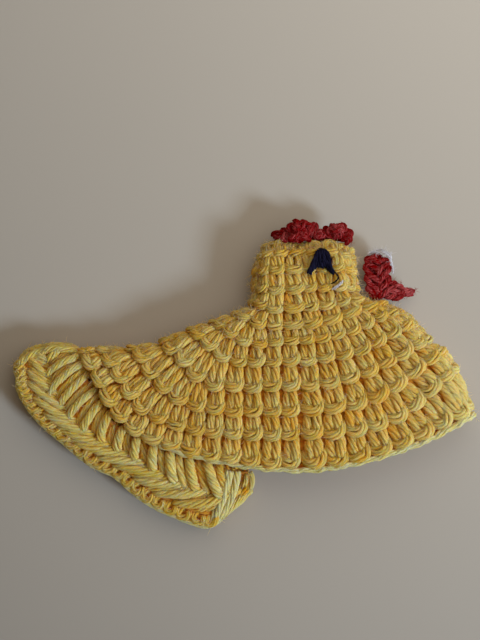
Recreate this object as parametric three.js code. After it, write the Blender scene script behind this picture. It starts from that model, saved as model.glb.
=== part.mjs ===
// A crocheted egg cosy in the shape of a hen, lying on its side.
// The body is a flat pouch in single crochet, worked from the head down and open along its hem.
// A frill of tall stitches is worked on to the rear half of the hem and folds round at the tail.
// A red comb and wattle, a white beak loop and a navy eye are sewn on.
// Millimetres, +Z up. The head points to +Y, the breast to +X, and the cosy lies on z = 0.
import * as THREE from "three";
import { mergeVertices } from "three/addons/utils/BufferGeometryUtils.js";

// The fabric
const wall = 3.3; // thickness of one layer of single crochet
const stitchRise = 0.9; // how far a stitch stands over the crevices round it
const foldHeight = 4.6; // height of the middle of a folded edge
const foldRound = 6; // how far in from a folded edge the layer is flat again
const hollowRound = 3; // the same, inside the pouch
const headRound = 5; // rounding of the closed top of the head
const headTip = 0.3; // how far down that rounding the closed top starts
const headRowHeight = 3.9; // height of the first round
const nearLining = 0.2; // how much thicker the near layer is under its crevices
const sewnGap = 0.52; // between a piece and what it is sewn to

// How a stitch swells: more than 1 puts the bump low down in it, under 1 makes the bump flatter on
// top, and sides is the share of its height that is left by the next stitch.
const stitchShape = { low: 1.4, flat: 0.7, sides: 0.25 };

// Where the drawing's origin lies from the middle of the footprint
const drawingShift = new THREE.Vector2(0.3, 0);

// One line across the pouch for each edge between two rounds of stitches, from the head to the hem.
// Each runs from the back fold over the shoulder, belly and chest to the breast fold. Crown is the
// height of the upper layer at the belly, and backFall and breastFall what it loses by each fold.
const roundLines = [
  { back: [4.6, 31.7], shoulder: [8.4, 32.7], belly: [13.2, 32.3], chest: [20.6, 32.3],
    breast: [26.8, 30.4], crown: 10.6, backFall: 0, breastFall: 0 },
  { back: [1.9, 28.4], shoulder: [6.5, 28.5], belly: [11.6, 28.4], chest: [20.2, 28.8],
    breast: [28.0, 28.3], crown: 11.5, backFall: 0, breastFall: 0 },
  { back: [0.7, 23.6], shoulder: [6.0, 23.2], belly: [11.6, 23.3], chest: [20.2, 23.8],
    breast: [28.2, 24.0], crown: 11.7, backFall: 0, breastFall: 0 },
  { back: [0.8, 19.4], shoulder: [6.0, 18.4], belly: [11.6, 18.6], chest: [20.4, 18.9],
    breast: [28.8, 19.6], crown: 11.7, backFall: 0, breastFall: 0 },
  { back: [0.2, 16.6], shoulder: [5.6, 13.8], belly: [11.4, 13.6], chest: [20.2, 14.6],
    breast: [31.6, 17.9], crown: 11.8, backFall: 0.2, breastFall: 0.2 },
  { back: [-4.8, 14.6], shoulder: [2.2, 9.9], belly: [11.0, 9.9], chest: [21.0, 11.4],
    breast: [35.6, 17.3], crown: 11.9, backFall: 0.4, breastFall: 0.4 },
  { back: [-10.4, 12.7], shoulder: [-1.6, 5.7], belly: [10.6, 5.9], chest: [24.0, 7.6],
    breast: [40.0, 15.3], crown: 12.0, backFall: 0.7, breastFall: 0.6 },
  { back: [-16.2, 10.7], shoulder: [-6.0, 1.4], belly: [10.6, 0.4], chest: [26.8, 2.6],
    breast: [43.8, 11.6], crown: 12.2, backFall: 1.1, breastFall: 0.9 },
  { back: [-23.2, 7.6], shoulder: [-11.8, -4.6], belly: [10.6, -5.8], chest: [29.4, -2.8],
    breast: [46.8, 7.4], crown: 12.4, backFall: 1.6, breastFall: 1.2 },
  { back: [-31.2, 6.6], shoulder: [-18.6, -8.6], belly: [10.6, -11.8], chest: [32.8, -8.2],
    breast: [50.6, 5.2], crown: 12.5, backFall: 2.1, breastFall: 1.5 },
  { back: [-38.6, 6.6], shoulder: [-25.2, -12.4], belly: [10.7, -17.7], chest: [35.6, -14.0],
    breast: [53.4, -0.2], crown: 12.5, backFall: 2.6, breastFall: 1.7 },
  { back: [-42.2, 5.9], shoulder: [-29.2, -14.9], belly: [11.0, -25.0], chest: [38.6, -19.8],
    breast: [57.3, -10.9], crown: 12.4, backFall: 2.8, breastFall: 1.8 },
];

// Stitches of each round on the near side: those from the belly's column to either fold.
const rounds = [
  { toBack: 2, toBreast: 3 },
  { toBack: 2, toBreast: 4 },
  { toBack: 2, toBreast: 4 },
  { toBack: 2, toBreast: 4 },
  { toBack: 3, toBreast: 4 },
  { toBack: 5, toBreast: 7 },
  { toBack: 6, toBreast: 7 },
  { toBack: 7, toBreast: 7 },
  { toBack: 9, toBreast: 7 },
  { toBack: 11, toBreast: 8 },
  { toBack: 12, toBreast: 8 },
];

// How finely the pouch is drawn
const nearSteps = 52; // round the near side, from fold to fold
const farSteps = 18; // round the far side, which lies flat
const lineSamples = 36; // along half a line
const fineSamples = 4 * lineSamples; // where the half is measured
const outwardShare = 0.97; // a point's outward direction is from this share of its way out
const roundSteps = [0, 0.4, 0.75]; // down one round of stitches
const headSteps = [0, 0.15, 0.4, 0.75]; // down the first one
const hollowRings = [0.9, 1.3, 2, 3, 4, 5.5, 7, 8.5, 10, 11]; // in rounds from the top of the head

// The frill: one row of the table for each section from the tail's fold to its free end.
// Hem is where its root meets the body's hem, from -1 at the back fold to 0 at the belly.
// RootLift and rimLift are the heights of the middle of the upper layer at both edges.
const frillSections = [
  { hem: -0.94, middle: [-49.8, 3.2], rim: [-57.0, -1.6], rootLift: 7.0, rimLift: 6.0 },
  { hem: -0.905, middle: [-49.6, -1.6], rim: [-56.9, -4.2], rootLift: 7.1, rimLift: 5.8 },
  { hem: -0.83, middle: [-47.6, -6.6], rim: [-55.0, -8.2], rootLift: 7.2, rimLift: 5.6 },
  { hem: -0.76, middle: [-44.4, -11.4], rim: [-50.8, -13.2], rootLift: 7.4, rimLift: 5.5 },
  { hem: -0.68, middle: [-39.4, -15.6], rim: [-45.2, -18.0], rootLift: 7.7, rimLift: 5.5 },
  { hem: -0.595, middle: [-33.6, -19.4], rim: [-39.0, -23.0], rootLift: 8.1, rimLift: 5.4 },
  { hem: -0.51, middle: [-27.6, -22.2], rim: [-32.6, -26.2], rootLift: 8.5, rimLift: 5.4 },
  { hem: -0.42, middle: [-21.4, -26.0], rim: [-26.2, -31.6], rootLift: 8.9, rimLift: 5.4 },
  { hem: -0.325, middle: [-14.4, -29.2], rim: [-18.6, -35.6], rootLift: 9.2, rimLift: 5.4 },
  { hem: -0.23, middle: [-6.6, -31.2], rim: [-9.0, -38.4], rootLift: 9.4, rimLift: 5.4 },
  { hem: -0.155, middle: [0.6, -29.8], rim: [-5.6, -35.6], rootLift: 9.4, rimLift: 5.4 },
];
const upperSections = 9; // the upper layer ends a section before the lower one
const frillStitches = 11; // tall stitches along each of its two rounds
const frillSteps = { upper: 3, lower: 2 }; // between two sections of either layer
const frillFoldSteps = 5;
const foldReach = 0.4; // sections over which the direction of the fold is taken
const frillAcross = [0, 0.08, 0.26, 0.42, 0.5, 0.6, 0.78, 0.93, 1];
const frillInside = [0.9, 0.62, 0.36, 0.1];
const lowerLift = wall / 2; // height of the middle of the lower layer
const hemStep = 0.02; // share of the hem over which its direction is taken

// Tall stitches: flat and sides as above, slant across the band in stitches, and how square its edges are
const tallShape = { flat: 0.7, sides: 0.2, slant: 0.5, squareness: 8 };

// Sewn-on pieces, each through a few sections that run from one side of it to the other
const combSections = [
  { from: [6.4, 33.5], to: [6.7, 34.9] },
  { from: [8.8, 33.3], to: [9.0, 35.6] },
  { from: [11.0, 33.2], to: [11.2, 37.7] },
  { from: [14.0, 33.0], to: [14.4, 38.4] },
  { from: [17.2, 32.9], to: [17.6, 37.4] },
  { from: [19.4, 32.9], to: [19.4, 35.8] },
  { from: [21.6, 32.8], to: [21.9, 37.1] },
  { from: [24.6, 32.4], to: [25.2, 37.2] },
  { from: [26.6, 31.8], to: [27.2, 35.6] },
  { from: [27.3, 32.2], to: [27.6, 34.4] },
];
const combPlace = { low: 3.0, high: 7.8 };
const wattleSections = [
  { from: [31.4, 29.2], to: [33.9, 29.4] },
  { from: [29.9, 27.6], to: [35.8, 28.2] },
  { from: [29.6, 25.4], to: [36.4, 26.0] },
  { from: [29.8, 23.0], to: [36.6, 24.0] },
  { from: [30.6, 20.8], to: [37.0, 23.2] },
  { from: [33.0, 19.2], to: [37.9, 22.8] },
  { from: [36.4, 18.8], to: [39.2, 22.2] },
  { from: [39.4, 18.9], to: [40.8, 21.2] },
  { from: [42.3, 19.5], to: [42.7, 20.3] },
];
const wattlePlace = { low: 1.4, high: 6.0 };
const eyeSections = [
  { from: [15.3, 25.4], to: [15.9, 24.4] },
  { from: [17.2, 27.3], to: [18.0, 25.0] },
  { from: [17.6, 29.6], to: [19.0, 26.6] },
  { from: [19.4, 31.0], to: [19.8, 26.6] },
  { from: [21.2, 28.6], to: [20.6, 26.2] },
  { from: [22.4, 25.4], to: [21.4, 24.9] },
  { from: [22.4, 24.3], to: [21.9, 24.2] },
];
const eyePlace = { low: 12.0, high: 13.2 };
const pieceSides = 12; // round a section
const stepsPerSection = 2; // between two sections
const endThinning = 0.6; // of the first and last section
const beakLine = [[30.2, 30.0], [32.8, 31.2], [36.4, 30.7], [37.7, 28.4]];
const beak = { yarn: 1.2, height: 4.4, sides: 8, steps: 10 };

const material = (color, roughness) => new THREE.MeshStandardMaterial({ color, roughness, metalness: 0 });
const yellowWool = material(0xd9b95c, 0.95);
const redWool = material(0xa3122f, 0.95);
const whiteWool = material(0xe6e0e0, 0.95);
const navyWool = material(0x14142a, 0.95);

const lerp = THREE.MathUtils.lerp;

// A quarter circle's rise over the distance in from an edge, from 0 at the edge to 1.
function roll(distance, radius) {
  const left = 1 - Math.min(distance / radius, 1);
  return Math.sqrt(1 - left * left);
}

// A smooth line through points of the drawing, all at one height.
function smoothLine(points, height = 0) {
  const places = points.map(([x, y]) => new THREE.Vector3(x, y, height));
  return new THREE.CatmullRomCurve3(places, false, "centripetal");
}

// Points at even steps along half of a line, from the belly out to one fold.
function evenHalf(curve, foldAt) {
  const fine = [];
  for (let i = 0; i <= fineSamples; i += 1) {
    fine.push(curve.getPoint(lerp(0.5, foldAt, i / fineSamples)));
  }
  const along = [0];
  for (let i = 1; i < fine.length; i += 1) {
    along.push(along[i - 1] + fine[i].distanceTo(fine[i - 1]));
  }
  const length = along[along.length - 1];
  const points = [];
  let at = 0;
  for (let i = 0; i <= lineSamples; i += 1) {
    const wanted = (length * i) / lineSamples;
    while (at < along.length - 2 && along[at + 1] < wanted) {
      at += 1;
    }
    const share = (wanted - along[at]) / (along[at + 1] - along[at]);
    points.push(fine[at].clone().lerp(fine[at + 1], share));
  }
  return { points, length };
}

const lines = roundLines.map((row) => {
  const curve = smoothLine([row.back, row.shoulder, row.belly, row.chest, row.breast]);
  return { back: evenHalf(curve, 0), breast: evenHalf(curve, 1) };
});

// A line's point at share, from -1 at the back fold through 0 at the belly to 1 at the breast fold.
function onLine(line, share) {
  const half = share < 0 ? line.back : line.breast;
  const at = Math.min(Math.abs(share), 1) * lineSamples;
  const i = Math.min(Math.floor(at), lineSamples - 1);
  return half.points[i].clone().lerp(half.points[i + 1], at - i);
}

// Everything about one place on the pouch: down counts rounds from the top of the head.
function placeOn(down, share) {
  const i = Math.min(Math.floor(down), rounds.length - 1);
  const part = down - i;
  const half = share < 0 ? "back" : "breast";
  const point = onLine(lines[i], share).lerp(onLine(lines[i + 1], share), part);
  const length = lerp(lines[i][half].length, lines[i + 1][half].length, part);
  const crown = lerp(roundLines[i].crown, roundLines[i + 1].crown, part);
  const fallName = share < 0 ? "backFall" : "breastFall";
  const fall = lerp(roundLines[i][fallName], roundLines[i + 1][fallName], part) * share * share;
  return { point, length, top: crown - fall, round: i, part };
}

// The height of the stitches over the crevices, from 0 to 1: plump low down in each stitch.
function stitchSwell(round, part, share) {
  const { low, flat, sides } = stitchShape;
  const count = share < 0 ? rounds[round].toBack : rounds[round].toBreast;
  const across = 0.5 + 0.5 * Math.cos(2 * Math.PI * share * (count + 0.5));
  const downwards = Math.sin(Math.PI * Math.min(part, 1) ** low);
  return Math.max(downwards, 0) ** flat * lerp(sides, 1, across ** flat);
}

// Outer and inner points of the pouch, on the near layer or on the far one that lies flat.
function outerPoint(down, share, near) {
  const { point, length, top, round, part } = placeOn(down, share);
  const inward = (1 - Math.abs(share)) * length;
  const closing = roll(down * headRowHeight + headTip, headRound);
  const full = roll(inward, foldRound) * closing;
  if (!near) {
    return point.setZ(foldHeight * (1 - full));
  }
  const swell = stitchRise * stitchSwell(round, part, share);
  const nearer = placeOn(down, share * outwardShare).point;
  const outward = point.clone().sub(nearer).setZ(0);
  const sideways = Math.max(1 - inward / foldRound, 0);
  if (outward.length() > 0) {
    point.addScaledVector(outward.normalize(), swell * sideways);
  }
  return point.setZ(foldHeight + (top - stitchRise - foldHeight) * full + swell * full);
}

function innerPoint(down, share, near) {
  const outer = placeOn(down, share);
  const inset = 1 - wall / outer.length;
  const { point, length, top } = placeOn(down, share * inset);
  const inward = (1 - Math.abs(share)) * length * inset;
  const under = (down - hollowRings[0]) * headRowHeight + headTip;
  const full = roll(inward, hollowRound) * roll(under, hollowRound);
  const ceiling = top - wall - nearLining;
  return point.setZ(near ? lerp(foldHeight, ceiling, full) : lerp(foldHeight, wall, full));
}

// One ring of the pouch: over the near layer from the back fold, and home along the far layer.
function ring(pointAt, down) {
  const points = [];
  for (let i = 0; i <= nearSteps; i += 1) {
    points.push(pointAt(down, (2 * i) / nearSteps - 1, true));
  }
  for (let i = 1; i < farSteps; i += 1) {
    points.push(pointAt(down, 1 - (2 * i) / farSteps, false));
  }
  return points;
}

// Triangles between two chains of points that may have different counts.
function zip(chainA, chainB, faces) {
  let a = 0;
  let b = 0;
  while (a < chainA.length - 1 || b < chainB.length - 1) {
    const nextA = (a + 1) / (chainA.length - 1);
    const nextB = (b + 1) / (chainB.length - 1);
    if (b === chainB.length - 1 || (a < chainA.length - 1 && nextA <= nextB)) {
      faces.push([chainA[a], chainA[a + 1], chainB[b]]);
      a += 1;
    } else {
      faces.push([chainA[a], chainB[b + 1], chainB[b]]);
      b += 1;
    }
  }
}

// A closed solid through a row of rings. Split is where a ring's near chain ends, and the two
// chains of the first and of the last ring are zipped together to close the ends.
function ringSolid(rings, split) {
  const count = rings[0].length;
  const faces = [];
  for (let k = 0; k < rings.length - 1; k += 1) {
    for (let i = 0; i < count; i += 1) {
      const j = (i + 1) % count;
      const here = k * count;
      const next = here + count;
      faces.push([here + i, next + i, here + j]);
      faces.push([here + j, next + i, next + j]);
    }
  }
  for (const [k, turn] of [[0, false], [rings.length - 1, true]]) {
    const near = [];
    const far = [];
    for (let i = 0; i <= split; i += 1) {
      near.push(k * count + i);
    }
    for (let i = count; i >= split; i -= 1) {
      far.push(k * count + (i % count));
    }
    const cap = [];
    zip(near, far, cap);
    const real = cap.filter(([a, b, c]) => a !== b && b !== c && c !== a);
    faces.push(...real.map(([a, b, c]) => (turn ? [a, c, b] : [a, b, c])));
  }
  const geometry = new THREE.BufferGeometry();
  geometry.setFromPoints(rings.flat());
  geometry.setIndex(faces.flat());
  return faceOutwards(geometry);
}

// Six times a closed solid's volume, which is negative when its faces point inwards.
function signedVolume(geometry) {
  const position = geometry.getAttribute("position");
  const index = geometry.getIndex();
  const corner = [0, 1, 2].map(() => new THREE.Vector3());
  let total = 0;
  for (let i = 0; i < index.count; i += 3) {
    corner.forEach((p, k) => p.fromBufferAttribute(position, index.getX(i + k)));
    total += corner[0].dot(corner[1].clone().cross(corner[2]));
  }
  return total;
}

function faceOutwards(geometry) {
  if (signedVolume(geometry) < 0) {
    geometry.setIndex(Array.from(geometry.getIndex().array).reverse());
  }
  return geometry;
}

function bodyGeometry() {
  const rings = [];
  rounds.forEach((_, i) => {
    for (const part of i === 0 ? headSteps : roundSteps) {
      rings.push(ring(outerPoint, i + part));
    }
  });
  rings.push(ring(outerPoint, rounds.length));
  for (const down of hollowRings.toReversed()) {
    rings.push(ring(innerPoint, down));
  }
  return ringSolid(rings, nearSteps);
}

// The frill's root lies a sewn gap outside the body's hem.
function frillRoot(share) {
  const hem = lines[lines.length - 1];
  const here = onLine(hem, share);
  const along = onLine(hem, share + hemStep).sub(onLine(hem, share - hemStep)).normalize();
  return here.add(new THREE.Vector3(along.y, -along.x, 0).multiplyScalar(sewnGap));
}

const frillCurves = {
  root: smoothLine(frillSections.map((row) => frillRoot(row.hem).toArray())),
  middle: smoothLine(frillSections.map((row) => row.middle)),
  rim: smoothLine(frillSections.map((row) => row.rim)),
};

// A point of the frill's middle surface: section counts along it, across goes from root to rim.
function frillPoint(section, across) {
  const t = section / (frillSections.length - 1);
  const root = frillCurves.root.getPoint(t);
  const middle = frillCurves.middle.getPoint(t);
  const rim = frillCurves.rim.getPoint(t);
  const point = root.multiplyScalar((1 - across) * (1 - 2 * across));
  point.addScaledVector(middle, 4 * across * (1 - across));
  return point.addScaledVector(rim, across * (2 * across - 1));
}

function frillLift(section, across) {
  const i = Math.min(Math.floor(section), frillSections.length - 2);
  const part = section - i;
  const root = lerp(frillSections[i].rootLift, frillSections[i + 1].rootLift, part);
  const rim = lerp(frillSections[i].rimLift, frillSections[i + 1].rimLift, part);
  return lerp(root, rim, across);
}

// One section of the frill. Turn is 0 on the upper layer, pi on the lower one, between at the fold.
function frillRing(section, turn) {
  const points = [];
  const { flat, sides, slant, squareness } = tallShape;
  const stitches = section * (frillStitches / upperSections);
  const onTable = turn === Math.PI;
  const intoFold = frillPoint(0, 0).sub(frillPoint(foldReach, 0)).normalize();
  for (const [list, face] of [[frillAcross, 1], [frillInside, -1]]) {
    const plain = face < 0 || onTable;
    for (const across of list) {
      const point = frillPoint(section, across);
      const upper = frillLift(section, across);
      const centre = (upper + lowerLift) / 2;
      const radius = (upper - lowerLift) / 2;
      point.addScaledVector(intoFold, radius * Math.sin(turn));
      point.setZ(centre + radius * Math.cos(turn));
      const edge = Math.sqrt(1 - (2 * across - 1) ** squareness);
      const tall = Math.abs(Math.sin(2 * Math.PI * across)) ** flat;
      const ribs = 0.5 + 0.5 * Math.cos(2 * Math.PI * (stitches + across * slant));
      const swell = stitchRise * tall * lerp(sides, 1, ribs);
      const out = face * edge * (plain ? wall / 2 : wall / 2 - stitchRise + swell);
      const normal = intoFold.clone().multiplyScalar(Math.sin(turn)).setZ(Math.cos(turn));
      points.push(point.addScaledVector(normal, out));
    }
  }
  return points;
}

function frillGeometry() {
  const rings = [];
  for (let k = upperSections * frillSteps.upper; k >= 0; k -= 1) {
    rings.push(frillRing(k / frillSteps.upper, 0));
  }
  for (let k = 1; k < frillFoldSteps; k += 1) {
    rings.push(frillRing(0, (Math.PI * k) / frillFoldSteps));
  }
  for (let k = 0; k <= (frillSections.length - 1) * frillSteps.lower; k += 1) {
    rings.push(frillRing(k / frillSteps.lower, Math.PI));
  }
  return ringSolid(rings, frillAcross.length - 1);
}

// A puffy piece between two heights, through sections across it.
function puffyPiece(sections, { low, high }) {
  const edges = ["from", "to"].map((name) => smoothLine(sections.map((row) => row[name])));
  const steps = (sections.length - 1) * stepsPerSection;
  const rings = [];
  for (let k = 0; k <= steps; k += 1) {
    const [from, to] = edges.map((edge) => edge.getPoint(k / steps));
    const thinning = k === 0 || k === steps ? endThinning : 1;
    const points = [];
    for (let i = 0; i < pieceSides; i += 1) {
      const angle = (2 * Math.PI * i) / pieceSides;
      const point = from.clone().lerp(to, 0.5 - 0.5 * Math.cos(angle));
      points.push(point.setZ((low + high) / 2 + ((high - low) / 2) * thinning * Math.sin(angle)));
    }
    rings.push(points);
  }
  return ringSolid(rings, pieceSides / 2);
}

function beakGeometry() {
  const extrudePath = smoothLine(beakLine, beak.height);
  const section = new THREE.Shape();
  for (let i = 0; i < beak.sides; i += 1) {
    const angle = (2 * Math.PI * i) / beak.sides;
    const corner = [(beak.yarn / 2) * Math.cos(angle), (beak.yarn / 2) * Math.sin(angle)];
    if (i === 0) {
      section.moveTo(...corner);
    } else {
      section.lineTo(...corner);
    }
  }
  section.closePath();
  const settings = { steps: beak.steps, bevelEnabled: false, extrudePath };
  const geometry = new THREE.ExtrudeGeometry(section, settings);
  geometry.deleteAttribute("normal");
  geometry.deleteAttribute("uv");
  return mergeVertices(geometry);
}

const cosy = new THREE.Group();
cosy.position.set(drawingShift.x, drawingShift.y, 0);

function addPiece(name, geometry, wool) {
  geometry.computeVertexNormals();
  const mesh = new THREE.Mesh(geometry, wool);
  mesh.name = name;
  cosy.add(mesh);
}

addPiece("body", bodyGeometry(), yellowWool);
addPiece("frill", frillGeometry(), yellowWool);
addPiece("comb", puffyPiece(combSections, combPlace), redWool);
addPiece("wattle", puffyPiece(wattleSections, wattlePlace), redWool);
addPiece("beak", beakGeometry(), whiteWool);
addPiece("eye", puffyPiece(eyeSections, eyePlace), navyWool);

export default cosy;
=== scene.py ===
import math
import random

import bmesh
import bpy
import numpy as np
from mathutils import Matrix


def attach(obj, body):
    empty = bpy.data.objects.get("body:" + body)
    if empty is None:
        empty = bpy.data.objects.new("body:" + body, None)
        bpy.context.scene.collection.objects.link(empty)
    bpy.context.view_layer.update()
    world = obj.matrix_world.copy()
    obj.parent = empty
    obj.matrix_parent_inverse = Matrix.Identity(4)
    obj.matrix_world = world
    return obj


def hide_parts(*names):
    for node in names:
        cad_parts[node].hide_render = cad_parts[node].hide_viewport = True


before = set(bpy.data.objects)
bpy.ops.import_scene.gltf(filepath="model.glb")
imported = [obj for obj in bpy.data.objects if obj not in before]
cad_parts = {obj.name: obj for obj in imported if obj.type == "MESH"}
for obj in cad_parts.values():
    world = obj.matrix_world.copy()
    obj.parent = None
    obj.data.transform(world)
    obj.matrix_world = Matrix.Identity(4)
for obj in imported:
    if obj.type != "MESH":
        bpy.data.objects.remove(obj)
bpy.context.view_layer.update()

mm = 0.001
drawingShift = np.array([0.3, 0.0, 0.0])  # from the drawing to the frame, in mm
scene = bpy.context.scene


# small helpers
def lerp(a, b, part):
    return a + (b - a) * part


def unit(vector):
    return vector / max(float(np.linalg.norm(vector)), 1e-9)


def roll(distance, radius):
    # height share of a rounded edge, from 0 at the rim to 1 where the round ends
    left = 1 - min(max(distance, 0) / radius, 1)
    return math.sqrt(1 - left * left)


def curvePoint(points, t):
    # centripetal Catmull-Rom through the rows of points, t from 0 to 1
    last = len(points) - 1
    i = min(int(t * last), last - 1)
    part = t * last - i
    p1, p2 = points[i], points[i + 1]
    p0 = points[i - 1] if i > 0 else 2 * p1 - p2
    p3 = points[i + 2] if i + 2 <= last else 2 * p2 - p1
    d0, d1, d2 = [
        max(float(np.linalg.norm(b - a)), 1e-6) ** 0.5 for a, b in ((p0, p1), (p1, p2), (p2, p3))]
    m1 = ((p1 - p0) / d0 - (p2 - p0) / (d0 + d1) + (p2 - p1) / d1) * d1
    m2 = ((p2 - p1) / d1 - (p3 - p1) / (d1 + d2) + (p3 - p2) / d2) * d1
    return p1 + part * (m1 + part * (3 * (p2 - p1) - 2 * m1 - m2 + part * (2 * (p1 - p2) + m1 + m2)))


def smoothPath(controls, steps):
    points = np.array(controls, float)
    return np.array([curvePoint(points, i / steps) for i in range(steps + 1)])


# camera, lights and floor
view = {
    "elevation": 83,  # degrees above the table, from the side of the hem
    "distance": 300,  # mm
    "fieldHeight": 160,  # mm from the top to the bottom of the picture
    "middle": (-1.3, 12.6, 6.0),
}


def makeCamera():
    data = bpy.data.cameras.new("camera")
    data.sensor_width = 36
    data.lens = data.sensor_width * view["distance"] / view["fieldHeight"]
    data.clip_start, data.clip_end = 0.01, 10
    camera = bpy.data.objects.new("camera", data)
    tilt = math.radians(90 - view["elevation"])
    x, y, z = view["middle"]
    away = view["distance"]
    camera.location = (x * mm, (y - away * math.sin(tilt)) * mm, (z + away * math.cos(tilt)) * mm)
    camera.rotation_euler = (tilt, 0, 0)
    scene.collection.objects.link(camera)
    scene.camera = camera


light = {
    # power in watts, size and distance in metres, azimuth from +X and elevation in degrees
    "key": {
        "power": 16.4, "size": 0.3, "away": 1.5,
        "azimuth": -34, "elevation": 31, "colour": (0.68, 0.82, 1.0),
    },
    "fill": {
        "power": 0.56, "size": 0.45, "away": 0.25,
        "azimuth": 46, "elevation": 55, "colour": (1.0, 0.92, 0.83),
    },
    "skyColour": (1.0, 0.64, 0.24),
    "skyStrength": 0.085,
}


def makeLights():
    for name in ("key", "fill"):
        chosen = light[name]
        data = bpy.data.lights.new(name, "AREA")
        data.energy, data.size, data.color = chosen["power"], chosen["size"], chosen["colour"]
        lamp = bpy.data.objects.new(name, data)
        turn, rise = math.radians(chosen["azimuth"]), math.radians(chosen["elevation"])
        out = chosen["away"] * math.cos(rise)
        lamp.location = (out * math.cos(turn), out * math.sin(turn), chosen["away"] * math.sin(rise))
        lamp.rotation_euler = (math.pi / 2 - rise, 0, turn + math.pi / 2)
        scene.collection.objects.link(lamp)
    world = bpy.data.worlds.new("soft room")
    world.use_nodes = True
    sky = world.node_tree.nodes["Background"]
    sky.inputs["Color"].default_value = (*light["skyColour"], 1)
    sky.inputs["Strength"].default_value = light["skyStrength"]
    scene.world = world
    scene.view_settings.view_transform = "Standard"


makeCamera()
makeLights()
print("camera and lights made")


# shader maths and materials
class Wire:
    # a node's output socket, on which shader maths is written as Python
    def __init__(self, tree, socket):
        self.tree, self.socket = tree, socket

    def node(self, kind, settings=None, values=None, out=0):
        made = self.tree.nodes.new("ShaderNode" + kind)
        for name, value in (settings or {}).items():
            setattr(made, name, value)
        for name, value in (values or {}).items():
            if isinstance(value, Wire):
                self.tree.links.new(value.socket, made.inputs[name])
            else:
                made.inputs[name].default_value = value
        return Wire(self.tree, made.outputs[out])

    def sum(self, operation, a, b):
        return self.node("Math", {"operation": operation}, {0: a, 1: b})

    def __add__(self, other):
        return self.sum("ADD", self, other)

    def __sub__(self, other):
        return self.sum("SUBTRACT", self, other)

    def __rsub__(self, other):
        return self.sum("SUBTRACT", other, self)

    def __mul__(self, other):
        return self.sum("MULTIPLY", self, other)

    def clamp(self):
        return self.node("Clamp", None, {"Value": self})

    def mix(self, low, high):
        # this value mixes two colours
        colours = [(*c, 1) if isinstance(c, tuple) else c for c in (low, high)]
        return self.node("Mix", {"data_type": "RGBA"}, {0: self, 6: colours[0], 7: colours[1]}, out=2)

    __radd__ = __add__
    __rmul__ = __mul__


def newMaterial(name):
    material = bpy.data.materials.new(name)
    material.use_nodes = True
    tree = material.node_tree
    shader = tree.nodes["Principled BSDF"]
    return material, tree, shader, Wire(tree, None)


def setSockets(shader, values):
    for name, value in values.items():
        shader.inputs[name].default_value = value


def linear(red, green, blue):
    # an sRGB colour of 0 to 255 in the renderer's linear values
    shares = [c / 255 for c in (red, green, blue)]
    return tuple(c / 12.92 if c <= 0.04045 else ((c + 0.055) / 1.055) ** 2.4 for c in shares)


yarnLooks = {
    # colours from 0 to 255; creviceShade is painted shade for the yarn deep in the cloth; glow is how much
    # light goes through the fibres, and glowColour how far each colour of it goes; paleFrom is the tone
    # from which fibres turn pale
    "yellow": {
        "creviceShade": (242, 148, 3), "mid": (236, 168, 40), "pale": (255, 222, 142),
        "roughness": 0.9, "sheen": 0.22, "sheenTint": (255, 205, 120), "bump": 0.7,
        "glow": 0.7, "glowColour": (1.0, 0.62, 0.14), "paleFrom": 1.5, "shine": 0.1,
    },
    # a paler yellow, partly painted light: brightened to stand for the lit edges of the hem chain, the
    # frill's chain and the loose fibres
    "paleYellowPaintedLit": {
        "creviceShade": (255, 192, 66), "mid": (255, 219, 122), "pale": (255, 237, 176),
        "roughness": 0.9, "sheen": 0.3, "sheenTint": (255, 242, 190), "bump": 0.7,
        "glow": 0.7, "glowColour": (1.0, 0.7, 0.25), "paleFrom": 1.5, "shine": 0.1,
    },
    "red": {
        "creviceShade": (118, 0, 0), "mid": (140, 0, 2), "pale": (246, 132, 132),
        "roughness": 0.9, "sheen": 0.02, "sheenTint": (255, 100, 110), "bump": 0.8,
        "glow": 0.15, "glowColour": (1.0, 0.06, 0.05), "paleFrom": 1.83, "shine": 0.0,
    },
    "white": {
        "creviceShade": (160, 158, 168), "mid": (224, 222, 230), "pale": (250, 248, 250),
        "roughness": 0.9, "sheen": 0.4, "sheenTint": (255, 255, 255), "bump": 0.5,
        "glow": 0.3, "glowColour": (1.0, 1.0, 1.0), "paleFrom": 1.5, "shine": 0.1,
    },
    "navy": {
        "creviceShade": (2, 2, 6), "mid": (9, 9, 24), "pale": (38, 38, 66),
        "roughness": 0.85, "sheen": 0.1, "sheenTint": (120, 120, 170), "bump": 0.6,
        "glow": 0.0, "glowColour": (0.3, 0.3, 1.0), "paleFrom": 1.5, "shine": 0.05,
    },
}
# a brighter copy of the yellow yarn for the frill: painted light, so the frill in the body's shade looks as
# bright as the belly
yarnLooks["frill"] = {
    **yarnLooks["yellow"],
    "creviceShade": (255, 162, 12), "mid": (255, 192, 60), "pale": (255, 234, 164),
}
fibreLook = {
    # shares of the streaks, of a ply's own shade and of the blotches in the tone of the yarn
    "streakTone": 2.8,
    "plyTone": 0.5,
    "blotchTone": 0.6,
    # the painted crevice shade gives way with the lift and the streaks, from this sum on
    "liftClears": 1.25,
    "streakClears": 1.4,
    "clearFrom": 0.85,
    "glowDepth": 0.0015,  # metres
}


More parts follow.
